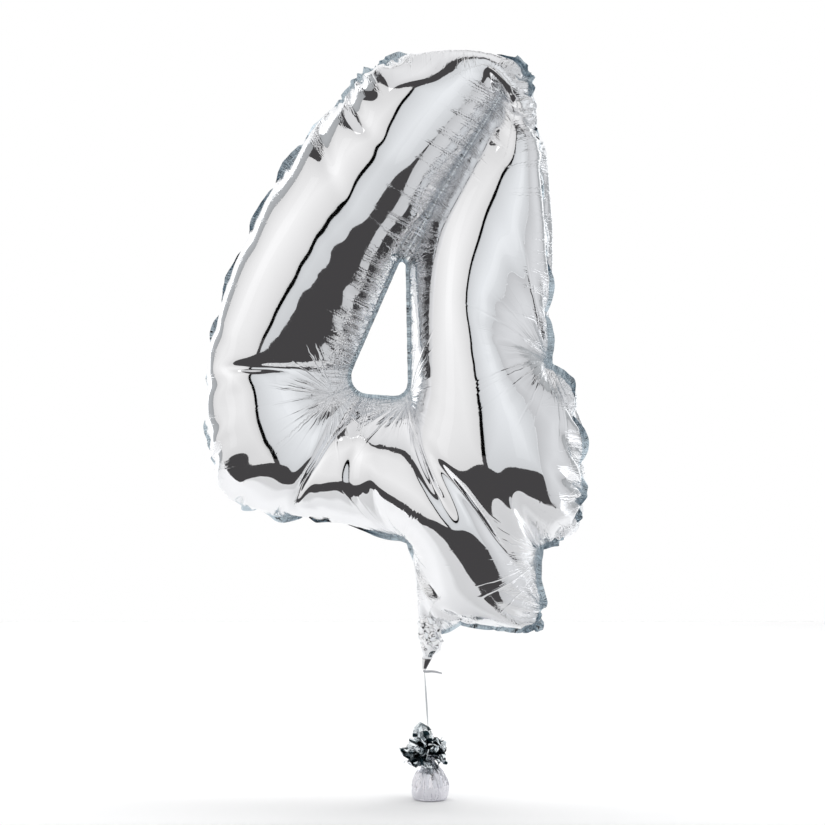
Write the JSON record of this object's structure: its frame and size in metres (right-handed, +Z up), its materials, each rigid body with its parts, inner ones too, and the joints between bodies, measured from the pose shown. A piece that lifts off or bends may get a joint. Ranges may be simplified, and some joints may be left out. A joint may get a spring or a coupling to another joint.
{
  "type": "foil number balloon",
  "caption": "Silver foil balloon shaped as the number four, on a short ribbon tied to a foil-wrapped weight with a fluffed frill.",
  "frame": {"origin": "on the floor, under the middle of the weight's base", "axes": "+Z up; the figure faces -Y and reads correctly from there, with +X to its right"},
  "size_m": [0.5994, 0.1916, 1.0824],
  "materials": {
    "silver_film": "mirror-bright metallised film",
    "valve_film": "clear film",
    "ribbon": "satin curling ribbon",
    "wrap_foil": "bright metallised film, pleated",
    "frill_foil": "bright metallised film, cut and fluffed",
    "tie_wire": "plain wire",
    "cup_plastic": "moulded",
    "cast_fill": "cast, rough"
  },
  "bodies": {
    "weight": {"weight_cup": "cup_plastic", "weight_fill": "cast_fill", "cup_lid": "cup_plastic", "foil_wrap": "wrap_foil", "neck_tie": "tie_wire", "frill_lower": "frill_foil", "frill_middle": "frill_foil", "frill_upper": "frill_foil", "ribbon_foot": "ribbon", "ribbon_foot_knot": "ribbon"},
    "ribbon": {"ribbon_line": "ribbon"},
    "knot": {"ribbon_neck_knot": "ribbon", "ribbon_tail": "ribbon"},
    "figure": {"front_panel": "silver_film", "back_panel": "silver_film", "fill_neck": "silver_film", "valve_film_front": "valve_film", "valve_film_back": "valve_film"}
  },
  "joints": [
    {"name": "ribbon_lean", "type": "hinge", "parent": "weight", "child": "ribbon", "pos_m": [-0.00354, 0, 0.112], "axis": [0, 1, 0], "range_deg": [-22, 22], "stiffness_Nm_per_rad": 5},
    {"name": "figure_nod", "type": "hinge", "parent": "ribbon", "child": "knot", "pos_m": [-0.008, 0, 0.18], "axis": [1, 0, 0], "range_deg": [-22, 22], "stiffness_Nm_per_rad": 4},
    {"name": "figure_twist", "type": "hinge", "parent": "knot", "child": "figure", "pos_m": [-0.008, 0, 0.185], "axis": [0, 0, 1], "continuous": true}
  ]
}
